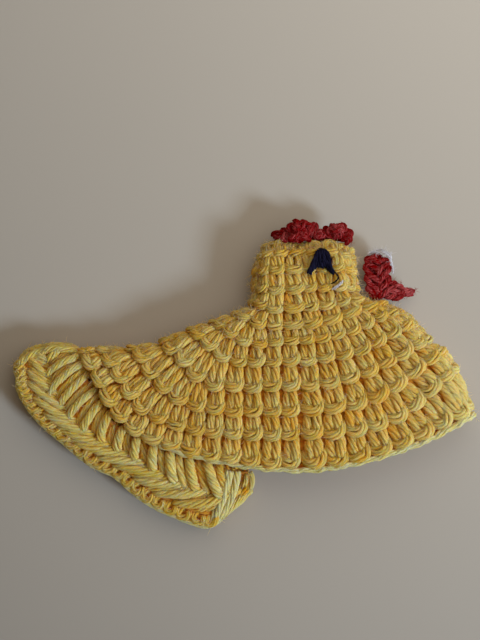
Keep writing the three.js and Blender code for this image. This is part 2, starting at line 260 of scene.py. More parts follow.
def yarnMaterial(name, look):
    # fibre runs along each ply, shade is a ply's own tone with painted light added towards the breast, and
    # lift is 0 deep in the cloth and 1 on top; low lift paints crevice shade
    material, tree, shader, start = newMaterial(name)
    fibre = start.node("Attribute", {"attribute_name": "fibre"}, out=1)
    shade = start.node("Attribute", {"attribute_name": "shade"}, out=2)
    lift = start.node("Attribute", {"attribute_name": "lift"}, out=2)
    streaks = start.node("TexNoise", None, {"Vector": fibre, "Scale": 1.0, "Detail": 4.0, "Roughness": 0.7})
    place = start.node("TexCoord", out=3)
    blotches = start.node("TexNoise", None, {"Vector": place, "Scale": 260.0, "Detail": 2.0})
    tone = streaks * fibreLook["streakTone"] + shade * fibreLook["plyTone"]
    tone = tone + blotches * fibreLook["blotchTone"] - look["paleFrom"]
    creviceShade, mid, pale, tint = [linear(*look[key]) for key in ("creviceShade", "mid", "pale", "sheenTint")]
    colour = tone.clamp().mix(mid, pale)
    # painted shade: yarn low in the cloth takes the darker, orange creviceShade colour
    outOfCreviceShade = lift * fibreLook["liftClears"] + streaks * fibreLook["streakClears"] - fibreLook["clearFrom"]
    colour = outOfCreviceShade.clamp().mix(creviceShade, colour)
    tree.links.new(colour.socket, shader.inputs["Base Color"])
    bump = start.node("Bump", None, {"Height": streaks, "Strength": look["bump"], "Distance": 0.0005})
    tree.links.new(bump.socket, shader.inputs["Normal"])
    setSockets(shader, {
        "Roughness": look["roughness"], "Specular IOR Level": look["shine"],
        "Sheen Weight": look["sheen"], "Sheen Tint": (*tint, 1), "Sheen Roughness": 0.5,
        "Subsurface Weight": look["glow"], "Subsurface Radius": look["glowColour"],
        "Subsurface Scale": fibreLook["glowDepth"],
    })
    return material


def clothMaterial(name, low, high):
    # the inside of the stitches: small bars of yarn in rows, on the cloth's own UV map; its low colour, a
    # darker orange than the yarn, is painted crevice shade
    material, tree, shader, start = newMaterial(name)
    place = start.node("UVMap", {"uv_map": "cloth"})
    rows = start.node("TexWave", {"bands_direction": "Y", "wave_profile": "SIN"}, {
        "Vector": place, "Scale": 1.0, "Distortion": 3.0, "Detail": 2.0, "Detail Scale": 1.2}, out=1)
    fine = start.node("TexNoise", None, {"Vector": place, "Scale": 5.0, "Detail": 4.0, "Roughness": 0.7})
    tone = rows * 0.5 + fine * 0.8 - 0.2
    tree.links.new(tone.clamp().mix(low, high).socket, shader.inputs["Base Color"])
    bump = start.node("Bump", None, {"Height": tone, "Strength": 0.8, "Distance": 0.0008})
    tree.links.new(bump.socket, shader.inputs["Normal"])
    look = yarnLooks["yellow"]
    setSockets(shader, {
        "Roughness": look["roughness"], "Sheen Weight": 0.2, "Subsurface Weight": look["glow"],
        "Subsurface Radius": look["glowColour"], "Subsurface Scale": fibreLook["glowDepth"],
    })
    return material


table = {
    "halfSide": 1.5,  # metres
    "paintedShadeEnd": linear(166, 160, 150),
    "light": linear(200, 194, 182),
    "paintedLightSlope": (2.8, 3.6, 0),  # painted light: how fast the floor's tone rises a metre, along x and y, brighter towards the upper right
    "cloud": 0.2,
    "middleTone": 0.38,
}


def tableMaterial():
    material, tree, shader, start = newMaterial("pale table")
    place = start.node("TexCoord", out=3)
    across = start.node("VectorMath", {"operation": "DOT_PRODUCT"}, {0: place, 1: table["paintedLightSlope"]}, out=1)
    cloud = start.node("TexNoise", None, {"Vector": place, "Scale": 6.0, "Detail": 2.0})
    # painted light: the floor's tone is painted darker to the lower left and brighter to the upper right
    shade = (across + cloud * table["cloud"] + table["middleTone"]).clamp()
    tree.links.new(shade.mix(table["paintedShadeEnd"], table["light"]).socket, shader.inputs["Base Color"])
    setSockets(shader, {"Roughness": 0.6})
    return material


yellowYarn = yarnMaterial("yellow yarn", yarnLooks["yellow"])
# partly painted light: the pale yarn is brightened where edges catch the key light
paleYarnPaintedLit = yarnMaterial("yellow yarn, hem", yarnLooks["paleYellowPaintedLit"])
# the frill's yarn is painted brighter: painted light
frillYarnPaintedLight = yarnMaterial("yellow yarn, frill", yarnLooks["frill"])
redYarn = yarnMaterial("red yarn", yarnLooks["red"])
whiteYarn = yarnMaterial("white yarn", yarnLooks["white"])
navyYarn = yarnMaterial("navy yarn", yarnLooks["navy"])
yellowCloth = clothMaterial("yellow cloth", linear(198, 116, 2), linear(230, 168, 40))


def makeFloor():
    made = bmesh.new()
    bmesh.ops.create_grid(made, x_segments=1, y_segments=1, size=table["halfSide"])
    mesh = bpy.data.meshes.new("table top")
    made.to_mesh(mesh)
    made.free()
    mesh.materials.append(tableMaterial())
    floor = bpy.data.objects.new("table-top", mesh)
    scene.collection.objects.link(floor)


makeFloor()
print("materials and floor made")


# yarn
yarns = {
    # plies round the yarn's middle, how far out they lie, their radius, and the length of one turn, in mm
    "leg": (6, 0.69, 0.43, 14),
    "bar": (8, 0.86, 0.4, 20),
    "hidden": (4, 0.6, 0.52, 17),
    "post": (7, 0.76, 0.4, 9),
    "leaf": (6, 0.6, 0.38, 14),
    "chain": (5, 0.42, 0.33, 17),
    "red": (4, 0.42, 0.33, 5),
    "curl": (3, 0.32, 0.29, 3.6),
    "satin": (3, 0.26, 0.24, 6),
    "fluffy": (3, 0.16, 0.12, 2.4),
    "thread": (2, 0.1, 0.12, 1.6),
}
paintedBreastLight = {"from": 36, "over": 20, "gain": 0.9}  # mm along x: painted light, the yarn is painted paler towards the breast, where the key light falls
fibreTwist = {
    "spiral": 1.2,  # radians that the fibres turn round a ply in a mm
    "along": 0.85,  # of the pattern, a mm
    "around": 1.9,  # of the pattern, half of a ply's width
}
onTable = 0.02  # mm, the lowest that worked yarn lies
upward = np.array([0.0, 0.0, 1.0])
fuzzRoots = {"yellow": [], "red": [], "white": [], "navy": []}


def layYarn(strands, path, normals, rise, yarn, rng, shade=None, swell=1.0, fuzz="yellow"):
    # twists the plies round a path in mm; rise is the path's height over the deepest yarn, from 0 to 1
    plies, offset, plyRadius, pitch = yarn
    path, count = np.array(path), len(path)
    normals = np.array(np.broadcast_to(normals, path.shape))
    rise, swell = np.full(count, rise), np.full(count, swell)
    tangents = np.gradient(path, axis=0)
    tangents /= np.maximum(np.linalg.norm(tangents, axis=1)[:, None], 1e-9)
    side = np.zeros_like(path)
    start = np.cross(tangents[0], normals[0])
    if np.linalg.norm(start) < 0.05:
        start = np.cross(tangents[0], [0.3, 0.5, 0.8])
    side[0] = unit(start)
    for i in range(1, count):
        side[i] = unit(side[i - 1] - tangents[i] * np.dot(side[i - 1], tangents[i]))
    up = np.cross(side, tangents)
    along = np.concatenate([[0], np.cumsum(np.linalg.norm(np.diff(path, axis=0), axis=1))])
    ends = np.minimum(along, along[-1] - along) / (2 * plyRadius)
    taper = np.sqrt(np.clip(ends, 0, 1))
    first = rng.uniform(0, 2 * math.pi)
    base = rng.uniform(0.2, 0.8) if shade is None else shade
    # painted light: plies towards the breast get a paler tone
    past = (path[count // 2][0] - paintedBreastLight["from"]) / paintedBreastLight["over"]
    base += paintedBreastLight["gain"] * min(max(past, 0), 1)
    for ply in range(plies):
        wobble = 0.25 * np.sin(along * rng.uniform(0.5, 1.1) + rng.uniform(0, 6.3))
        angle = first + 2 * math.pi * (ply / plies + along / pitch) + wobble
        arm = np.cos(angle)[:, None] * side + np.sin(angle)[:, None] * up
        arm = arm * (offset * swell)[:, None]
        lifted = rise + np.einsum("ij,ij->i", arm, normals) / 3
        uneven = 1 + 0.09 * np.sin(along * rng.uniform(1.2, 2.4) + rng.uniform(0, 6.3))
        strands.append({
            "points": path + arm,
            "radius": plyRadius * taper * uneven * swell * rng.uniform(0.9, 1.1),
            "along": along,
            "lift": np.clip(lifted, 0, 1),
            "shade": min(max(base + rng.uniform(-0.3, 0.3), 0), 1.8),
            "start": rng.uniform(0, 500),
        })
    for _ in range(4):
        i = rng.randrange(count)
        if fuzz and rise[i] > 0.4:
            fuzzRoots[fuzz].append((path[i], normals[i], tangents[i], offset + plyRadius))


def yarnPiece(name, node, strands, material, sides=6, floorAt=None):
    # round plies from a bevelled curve, with what the yarn's material reads on every point
    curve = bpy.data.curves.new(name, "CURVE")
    curve.dimensions = "3D"
    curve.bevel_depth = 1
    curve.bevel_resolution = (sides - 4) // 2
    for strand in strands:
        count = len(strand["points"])
        spline = curve.splines.new("POLY")
        spline.points.add(count - 1)
        places = np.c_[(strand["points"] + drawingShift) * mm, np.ones(count)]
        spline.points.foreach_set("co", places.ravel())
        spline.points.foreach_set("radius", strand["radius"] * mm)
    holder = bpy.data.objects.new(name, curve)
    scene.collection.objects.link(holder)
    bpy.context.view_layer.update()
    mesh = bpy.data.meshes.new_from_object(holder.evaluated_get(bpy.context.evaluated_depsgraph_get()))
    bpy.data.objects.remove(holder)
    turns = np.arange(sides) * 2 * math.pi / sides
    fibres, shades, lifts = [], [], []
    for strand in strands:
        count = len(strand["points"])
        ringFibre = np.zeros((count, sides, 3))
        spiral = turns[None, :] + strand["along"][:, None] * fibreTwist["spiral"]
        ringFibre[:, :, 0] = (strand["start"] + strand["along"] * fibreTwist["along"])[:, None]
        ringFibre[:, :, 1] = np.cos(spiral) * fibreTwist["around"]
        ringFibre[:, :, 2] = np.sin(spiral) * fibreTwist["around"]
        fibres.append(ringFibre.reshape(-1, 3))
        shades.append(np.full(count * sides, strand["shade"]))
        lifts.append(np.repeat(strand["lift"], sides))
    for key, kind, field, values in (
        ("fibre", "FLOAT_VECTOR", "vector", fibres), ("shade", "FLOAT", "value", shades),
        ("lift", "FLOAT", "value", lifts),
    ):
        mesh.attributes.new(key, kind, "POINT").data.foreach_set(field, np.concatenate(values).ravel())
    closed = bmesh.new()
    closed.from_mesh(mesh)
    bmesh.ops.remove_doubles(closed, verts=closed.verts, dist=1e-7)
    if floorAt is not None:
        for vert in closed.verts:
            vert.co.z = max(vert.co.z, floorAt * mm)
    return addPiece(name, node, closed, mesh, material)


def addPiece(name, node, made, mesh, material):
    # turns the faces outwards, adds the mesh under the root and hides its node's imported part
    bmesh.ops.recalc_face_normals(made, faces=made.faces)
    for face in made.faces:
        face.smooth = True
    made.to_mesh(mesh)
    made.free()
    mesh.materials.clear()
    mesh.materials.append(material)
    mesh.name = name
    piece = bpy.data.objects.new(name, mesh)
    scene.collection.objects.link(piece)
    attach(piece, "root")
    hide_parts(node)
    return piece


# the pouch
pouch = {
    "foldHeight": 4.6,  # mm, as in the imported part
    "foldRound": 6.0,
    "headRound": 5.0,
    "headTip": 0.3,
    "headRowHeight": 3.9,
    "clothDepth": 2.5,  # of the cloth under the tops of the stitches
    "clothThickness": 0.9,
    "clothRounds": 10.93,  # how far down the cloth goes
    "yarnDepth": 1.5,  # of the worked yarn's middle line under the outside
    "topDepth": 0.8,  # of the first round's upper bars
}
# the lines between the rounds, from the head down: points on the back fold, shoulder, belly, chest and
# breast fold, the height of the crown, and how far it falls to the back and to the breast
lineRows = [
    ([4.6, 31.7], [8.4, 32.7], [13.2, 32.3], [20.6, 32.3], [26.8, 30.4], 10.6, 0.0, 0.0),
    ([1.9, 28.4], [6.5, 28.5], [11.6, 28.4], [20.2, 28.8], [28.0, 28.3], 11.5, 0.0, 0.0),
    ([0.7, 23.6], [6.0, 23.2], [11.6, 23.3], [20.2, 23.8], [28.2, 24.0], 11.7, 0.0, 0.0),
    ([0.8, 19.4], [6.0, 18.4], [11.6, 18.6], [20.4, 18.9], [28.8, 19.6], 11.7, 0.0, 0.0),
    ([0.2, 16.6], [5.6, 13.8], [11.4, 13.6], [20.2, 14.6], [31.6, 17.9], 11.8, 0.2, 0.2),
    ([-4.8, 14.6], [2.2, 9.9], [11.0, 9.9], [21.0, 11.4], [35.6, 17.3], 11.9, 0.4, 0.4),
    ([-10.4, 12.7], [-1.6, 5.7], [10.6, 5.9], [24.0, 7.6], [40.0, 15.3], 12.0, 0.7, 0.6),
    ([-16.2, 10.7], [-6.0, 1.4], [10.6, 0.4], [26.8, 2.6], [43.8, 11.6], 12.2, 1.1, 0.9),
    ([-23.2, 7.6], [-11.8, -4.6], [10.6, -5.8], [29.4, -2.8], [46.8, 7.4], 12.4, 1.6, 1.2),
    ([-31.2, 6.6], [-18.6, -8.6], [10.6, -11.8], [32.8, -8.2], [50.6, 5.2], 12.5, 2.1, 1.5),
    ([-38.6, 6.6], [-25.2, -12.4], [10.7, -17.7], [35.6, -14.0], [53.4, -0.2], 12.5, 2.6, 1.7),
    ([-42.2, 5.9], [-29.2, -14.9], [11.0, -25.0], [38.6, -19.8], [57.3, -10.9], 12.4, 2.8, 1.8),
]
# stitches of each round on the near side, from the belly's column to either fold
roundStitches = [(2, 3), (2, 4), (2, 4), (2, 4), (3, 4), (5, 7), (6, 7), (7, 7), (9, 7), (11, 8), (12, 8)]
lineSamples = 36


def halfLine(points, foldAt):
    fine = np.array([curvePoint(points, lerp(0.5, foldAt, i / 144)) for i in range(145)])
    along = np.concatenate([[0], np.cumsum(np.linalg.norm(np.diff(fine, axis=0), axis=1))])
    wanted = np.linspace(0, along[-1], lineSamples + 1)
    even = np.column_stack([np.interp(wanted, along, fine[:, k]) for k in (0, 1)])
    return {"points": even, "length": along[-1]}


def foldTable(ratio):
    # share of a quarter ellipse's length against the angle
    angles = np.linspace(0, math.pi / 2, 65)
    steps = np.sqrt(np.cos(angles) ** 2 + (ratio * np.sin(angles)) ** 2)
    along = np.concatenate([[0], np.cumsum((steps[1:] + steps[:-1]) / 2)])
    return along / along[-1], angles


foldTables = {"near": foldTable(1.23), "far": foldTable(0.77)}
pouchLines = []
for *stations, crown, backFall, breastFall in lineRows:
    stations = np.array(stations, float)
    pouchLines.append({
        -1: {**halfLine(stations, 0), "fall": backFall},
        1: {**halfLine(stations, 1), "fall": breastFall},
        "crown": crown,
    })


def quarterLength(a, b):
    return math.pi / 4 * (3 * (a + b) - math.sqrt((3 * a + b) * (a + 3 * b)))


def pouchMeasures(down, side):
    # lengths over the near and the far side from the belly to the fold, in mm
    i = min(max(int(down), 0), len(roundStitches) - 1)
    part = down - i
    upper, lower = pouchLines[i], pouchLines[i + 1]
    length = lerp(upper[side]["length"], lower[side]["length"], part)
    crown = lerp(upper["crown"], lower["crown"], part)
    fall = lerp(upper[side]["fall"], lower[side]["fall"], part)
    flat = length - pouch["foldRound"]
    nearHeight = crown - fall - pouch["foldHeight"]
    near = flat + quarterLength(pouch["foldRound"], nearHeight)
    far = flat + quarterLength(pouch["foldRound"], pouch["foldHeight"])
    return {"i": i, "part": part, "length": length, "crown": crown, "fall": fall,
            "flat": flat, "near": near, "far": far}


def onPouch(down, side, q):
    # q is 0 on the near belly, 1 on the fold and 2 on the far belly; past either end it crosses over
    if q < 0:
        side, q = -side, -q
    if q > 2:
        side, q = -side, 4 - q
    down = max(down, 0.0)
    m = pouchMeasures(down, side)
    layer = "near" if q <= 1 else "far"
    s = (q if q <= 1 else 2 - q) * m[layer]
    if s <= m["flat"]:
        plan, lift = s, 1.0
    else:
        shares, angles = foldTables[layer]
        angle = float(np.interp((s - m["flat"]) / (m[layer] - m["flat"]), shares, angles))
        plan, lift = m["flat"] + pouch["foldRound"] * math.sin(angle), math.cos(angle)
    share = min(plan / m["length"], 1.0)
    at = share * lineSamples
    k = min(int(at), lineSamples - 1)
    ends = []
    for line in (pouchLines[m["i"]], pouchLines[m["i"] + 1]):
        points = line[side]["points"]
        ends.append(lerp(points[k], points[k + 1], at - k))
    x, y = lerp(ends[0], ends[1], m["part"])
    closing = roll(down * pouch["headRowHeight"] + pouch["headTip"], pouch["headRound"])
    if layer == "near":
        top = m["crown"] - m["fall"] * share * share
        z = pouch["foldHeight"] + (top - pouch["foldHeight"]) * lift * closing
    else:
        z = pouch["foldHeight"] * (1 - lift * closing)
    return np.array([x, y, z])


def pouchFrame(down, side, q):
    # point, outward normal, and steps per round and per q
    here = onPouch(down, side, q)
    stepDown = (onPouch(down + 0.08, side, q) - onPouch(max(down - 0.08, 0), side, q)) / (
        0.16 if down >= 0.08 else down + 0.08)
    stepAcross = (onPouch(down, side, q + 0.01) - onPouch(down, side, q - 0.01)) / 0.02 * side
    return here, unit(np.cross(stepDown, stepAcross)), stepDown, stepAcross


def pouchCell(round_, side, q, width):
    # a stitch's height, and its own place: across in mm from its middle, down from 0 to 1
    _, _, stepDown, stepAcross = pouchFrame(round_ + 0.5, side, q)
    slide = float(np.dot(stepDown, stepAcross)) / float(np.dot(stepAcross, stepAcross))
    height = float(np.linalg.norm(stepDown - stepAcross * slide))
    slant = min(max(-slide * side, -1.2 * width[1]), 1.2 * width[1])

    def place(across, down):
        shifted = q + side * across * width[1] / width[0] + slant * (down - 0.5)
        point, normal, _, _ = pouchFrame(round_ + down, side, shifted)
        return point, normal

    return place, height


deepestYarn = 2.4  # mm under the worked line, where lift is 0


def workStitch(strands, place, width, height, controls, yarn, rng, steps, depth, ends):
    # one length of yarn through rows of (across, down, rise): shares of the stitch, and mm over its depth
    lean, tip = rng.uniform(-0.14, 0.14), rng.uniform(-0.25, 0.25)
    wide, tall, proud = rng.uniform(0.93, 1.06), rng.uniform(0.94, 1.06), rng.uniform(-0.22, 0.22)
    rows = []
    for across, down, rise in controls:
        rows.append(((across * wide + lean * (0.5 - down) + rng.uniform(-0.025, 0.025)) * width,
                     (down * tall + rng.uniform(-0.02, 0.02)) * height,
                     rise + proud + tip * across * 2 + rng.uniform(-0.1, 0.1)))
    path = smoothPath(rows, steps)
    points, normals, rises = [], [], []
    for across, down, rise in path:
        point, normal = place(across, down / height)
        points.append(point + normal * (rise - depth))
        normals.append(normal)
        rises.append((rise + deepestYarn) / (deepestYarn + 0.5))
    girth = min(max(width / 4.7, 0.86), 1.18)
    swell = girth * lerp(ends, 1.05, np.clip(np.sin(np.linspace(0, math.pi, steps + 1)), 0, 1) ** 0.7)
    layYarn(strands, points, normals, rises, yarn, rng, swell=swell)


# the yarn of a stitch: a sunken left leg, a right leg that stands out, and the bar across their feet
leftLeg = [
    (-0.14, -0.27, -1.8), (-0.17, -0.06, -1.0), (-0.19, 0.16, -0.4), (-0.185, 0.38, -0.15),
    (-0.16, 0.58, -0.3), (-0.1, 0.74, -0.9),
]
rightLeg = [
    (0.16, -0.27, -1.7), (0.2, -0.06, -0.8), (0.225, 0.15, -0.05), (0.22, 0.38, 0.15), (0.19, 0.58, -0.1),
    (0.13, 0.74, -0.7),
]
bottomBar = [
    (-0.39, 0.3, -1.7), (-0.4, 0.5, -1.0), (-0.36, 0.67, -0.3), (-0.22, 0.765, 0.16), (0, 0.79, 0.34),
    (0.2, 0.76, 0.36), (0.34, 0.63, 0.12), (0.395, 0.44, -0.4), (0.4, 0.24, -1.2),
]
topBar = [
    (-0.4, 0.55, -1.6), (-0.42, 0.32, -0.8), (-0.34, 0.14, -0.1), (-0.14, 0.05, 0.25), (0.14, 0.04, 0.25),
    (0.34, 0.12, -0.1), (0.42, 0.3, -0.8), (0.4, 0.53, -1.6),
]


def workRow(strands, number, side, columns, width, qOf, hidden, rng):
    # the stitches of one round from the belly towards one fold
    leg, bar = (yarns["hidden"], yarns["hidden"]) if hidden else (yarns["leg"], yarns["bar"])
    legSteps, barSteps = (7, 10) if hidden else (10, 14)
    lengths = (
        (leftLeg, leg, legSteps, 0.95), (rightLeg, leg, legSteps, 0.95), (bottomBar, bar, barSteps, 0.5),
    )
    for k in columns:
        place, height = pouchCell(number, side, qOf(k), width)
        for rows, yarn, steps, ends in lengths:
            workStitch(strands, place, width[0], height, rows, yarn, rng, steps, pouch["yarnDepth"], ends)
        if number == 0:
            depth = pouch["topDepth"]
            workStitch(strands, place, width[0], height, topBar, yarns["bar"], rng, 10, depth, 0.7)


def pouchStitches():
    groups = {"head": [], "shoulders": [], "skirt": [], "far-side": []}
    rng = random.Random(11)
    for number, counts in enumerate(roundStitches):
        group = "head" if number < 5 else "shoulders" if number < 9 else "skirt"
        for side, count in ((-1, counts[0]), (1, counts[1])):
            first = 0 if side < 0 else 1
            m = pouchMeasures(number + 0.5, side)
            near, far = 1 / (count + 1.5), 1 / (count + 0.5)
            workRow(groups[group], number, side, range(first, count + 2), (m["near"] * near, near),
                    lambda k: k * near, False, rng)
            workRow(groups["far-side"], number, side, range(first, count + 1), (m["far"] * far, far),
                    lambda k: 2 - k * far, True, rng)
    for group, strands in groups.items():
        sides, floorAt = (4, onTable) if group == "far-side" else (6, None)
        yarnPiece("stitches-" + group, "body", strands, yellowYarn, sides, floorAt)


def gridPiece(name, node, columns, rows, pointAt, uvAt, thickness):
    # a sheet from a grid whose own places are read as (0 to 1, 0 to 1)
    made = bmesh.new()
    bmesh.ops.create_grid(made, x_segments=columns, y_segments=rows, size=0.5)
    uv = made.loops.layers.uv.new("cloth")
    for face in made.faces:
        for loop in face.loops:
            loop[uv].uv = uvAt(loop.vert.co.x + 0.5, loop.vert.co.y + 0.5)
    for vert in made.verts:
        vert.co = (pointAt(vert.co.x + 0.5, vert.co.y + 0.5) + drawingShift) * mm
    bmesh.ops.remove_doubles(made, verts=made.verts, dist=1e-5)
    piece = addPiece(name, node, made, bpy.data.meshes.new(name), yellowCloth)
    wall = piece.modifiers.new("wall", "SOLIDIFY")
    wall.thickness = thickness * mm
    wall.offset = -1
    return piece


def pouchCloth():
    def loopPlace(x):
        # once round: near side from the back fold to the breast fold, and home along the far side
        turn = x * 4 - 1
        if turn <= 1:
            return (-1, -turn) if turn < 0 else (1, turn)
        return (1, turn) if turn <= 2 else (-1, 4 - turn)

    def pointAt(x, y):
        down = (1 - y) * pouch["clothRounds"]
        side, q = loopPlace(x)
        point, normal, _, _ = pouchFrame(max(down, 0.35), side, q)
        inside = point - normal * pouch["clothDepth"]
        if down < 0.2:
            inside[2] = pouch["foldHeight"]
        return inside

    return gridPiece(
        "body-cloth", "body", 144, 56, pointAt, lambda x, y: (x * 40, y * 11), pouch["clothThickness"])


hem = {
    "depth": 1.05,  # mm, of the chain under the outside of the stitches
    "inset": 0.3,
    "wave": (0.16, 0.1),
    "nearFrom": -22,  # along x; behind this the frill hides the near side's chain
}


def hemChain():
    strands = []
    rng = random.Random(5)
    for far in (False, True):
        path, normals = [], []
        for i in range(241):
            turn = -1 + 2 * i / 240
            side, q = (-1, -turn) if turn < 0 else (1, turn)
            point, normal, stepDown, _ = pouchFrame(11.0, side, 2 - q if far else q)
            if far or point[0] > hem["nearFrom"]:
                wave = hem["wave"][0] * math.sin(i * 0.53) + hem["wave"][1] * math.sin(i * 1.27 + 1)
                down = unit(stepDown) * (wave * 0.8 - hem["inset"])
                path.append(point - normal * (hem["depth"] + wave) + down)
                normals.append(normal)
        swell = []
        for i, point in enumerate(path):
            uneven = 0.2 * math.sin(i * 0.71) * math.sin(i * 0.19)
            swell.append(0.8 + uneven + 0.3 * min(max(point[0] / 50, 0), 1))
        layYarn(strands, path, normals, 0.75, yarns["chain"], rng, 0.6, swell)
    yarnPiece("hem-chain", "body", strands, paleYarnPaintedLit, floorAt=onTable)


bodyCloth = pouchCloth()
pouchStitches()
hemChain()

# the frill
frill = {
    "lowerLift": 1.65,  # mm, middle of the layer that lies on the table
    "upperEnd": 9.0,  # section where the upper layer ends
    "stitchesToEnd": 12,
    "foldStitches": 2,
    "clothThickness": 1.0,
    "yarnDepth": -0.35,
    "sewnGap": 0.52,
    "innerSlant": (1.5, 0.9),  # of the inner stitches, in their widths, at the tail and at the end
    "outerSlant": (-1.9, -1.5),
    # the ring of yarn round each stitch of the rim, in mm: half its length and width, how far in its
    # middle lies, and how loosely it is worked
    "ring": {"along": 1.2, "out": 1.15, "inset": 1.45, "loose": 0.15},
}
# hem, middle and rim of each section from the tail's fold on, and how high the root and the rim lie
frillRows = [
    (-0.94, [-49.8, 3.2], [-57.0, -1.6], 7.0, 6.0), (-0.905, [-49.6, -1.6], [-56.9, -4.2], 7.1, 5.8),
    (-0.83, [-47.6, -6.6], [-55.0, -8.2], 7.2, 5.6), (-0.76, [-44.4, -11.4], [-50.8, -13.2], 7.4, 5.5),
    (-0.68, [-39.4, -15.6], [-45.2, -18.0], 7.7, 5.5), (-0.595, [-33.6, -19.4], [-39.0, -23.0], 8.1, 5.4),
    (-0.51, [-27.6, -22.2], [-32.6, -26.2], 8.5, 5.4), (-0.42, [-21.4, -26.0], [-26.2, -31.6], 8.9, 5.4),
    (-0.325, [-14.4, -29.2], [-18.6, -35.6], 9.2, 5.4), (-0.23, [-6.6, -31.2], [-9.0, -38.4], 9.4, 5.4),
    (-0.155, [0.6, -29.8], [-5.6, -35.6], 9.4, 5.4),
]
lastSection = len(frillRows) - 1


def hemPlan(share):
    line = pouchLines[11][-1 if share < 0 else 1]["points"]
    at = min(abs(share), 1) * lineSamples
    k = min(int(at), lineSamples - 1)
    return lerp(line[k], line[k + 1], at - k)


def frillRoot(share):
    along = unit(hemPlan(share + 0.02) - hemPlan(share - 0.02))
    return hemPlan(share) + np.array([along[1], -along[0]]) * frill["sewnGap"]


frillCurves = {
    "root": np.array([frillRoot(row[0]) for row in frillRows]),
    "middle": np.array([row[1] for row in frillRows], float),
    "rim": np.array([row[2] for row in frillRows], float),
}
foldDirection = unit(curvePoint(frillCurves["root"], 0) - curvePoint(frillCurves["root"], 0.04))


def onFrill(v, across):
    # v counts sections: above 0 on the upper layer, below -1 on the lower one, between them at the fold
    section = max(v, 0) if v > -1 else -1 - v
    section = min(section, lastSection)
    t = section / lastSection
    root, middle, rim = (curvePoint(frillCurves[k], t) for k in ("root", "middle", "rim"))
    plan = root * (1 - across) * (1 - 2 * across) + middle * 4 * across * (1 - across)
    plan = plan + rim * across * (2 * across - 1)
    i = min(int(section), lastSection - 1)
    rootLift = lerp(frillRows[i][3], frillRows[i + 1][3], section - i)
    rimLift = lerp(frillRows[i][4], frillRows[i + 1][4], section - i)
    upper = lerp(rootLift, rimLift, min(max(across, 0), 1))
    turn = 0.0 if v >= 0 else math.pi if v <= -1 else -v * math.pi
    centre, radius = (upper + frill["lowerLift"]) / 2, (upper - frill["lowerLift"]) / 2
    plan = plan + foldDirection * radius * math.sin(turn)
    return np.array([plan[0], plan[1], centre + radius * math.cos(turn)])


def frillFrame(v, across):
    here = onFrill(v, across)
    stepV = onFrill(v + 0.04, across) - onFrill(v - 0.04, across)
    stepAcross = onFrill(v, across + 0.03) - onFrill(v, across - 0.03)
    return here, unit(np.cross(stepAcross, stepV)), stepV / 0.08, stepAcross / 0.06


# each length of yarn of a stitch: across and down in shares, rise in mm
postRows = [
    (-0.04, -0.16, -1.3), (-0.04, 0.02, -0.2), (0, 0.25, 0.3), (0.02, 0.5, 0.5), (0.02, 0.75, 0.45),
    (0.04, 0.96, -0.1), (0.06, 1.08, -0.9),
]
backRows = [
    (0.46, -0.16, -1.5), (0.47, 0.1, -0.75), (0.5, 0.45, -0.4), (0.5, 0.8, -0.5), (0.5, 1.05, -1.1),
]
leafRows = [
    (0, -0.14, -1.1), (-0.02, 0.04, -0.1), (0, 0.3, 0.42), (0.02, 0.55, 0.55), (0.02, 0.8, 0.35),
    (0, 1.0, -0.2), (0, 1.12, -0.9),
]


def frillPost(strands, v, width, low, high, slant, rng, rows, yarn, inside=False):
    _, _, stepV, stepAcross = frillFrame(v, (low + high) / 2)
    height = float(np.linalg.norm(stepAcross)) * (high - low)
    perMm = 1 / max(float(np.linalg.norm(stepV)), 0.5)
    facing = -1 if inside else 1

    def place(across, down):
        along = across + slant * (down - 0.5) * width
        point, normal, _, _ = frillFrame(v + along * perMm, lerp(low, high, down))
        return point, normal * facing

    workStitch(strands, place, width, height, rows, yarns[yarn], rng, 12, frill["yarnDepth"], 0.8)


def frillRim(strands, v, rng):
    # a ring of yarn in the chain along the rim
    _, normal, stepV, stepAcross = frillFrame(v, 0.86)
    perMm = 1 / max(float(np.linalg.norm(stepV)), 0.5)
    perOut = 1 / float(np.linalg.norm(stepAcross))
    ring = frill["ring"]
    rows = []
    for turn in np.linspace(-2.9, 2.5, 10):
        along = ring["along"] * math.sin(turn) + rng.uniform(-ring["loose"], ring["loose"])
        out = ring["out"] * math.cos(turn) - ring["inset"] + rng.uniform(-ring["loose"], ring["loose"])
        rise = 0.35 - 1.3 * max(abs(turn) - 1.9, 0) + 0.15 * math.sin(turn)
        point, _, _, _ = frillFrame(v + along * perMm, 0.98 + out * perOut)
        rows.append(point + normal * rise)
    layYarn(strands, smoothPath(rows, 17), normal, 0.55, yarns["leaf"], rng, 0.3, 0.84)


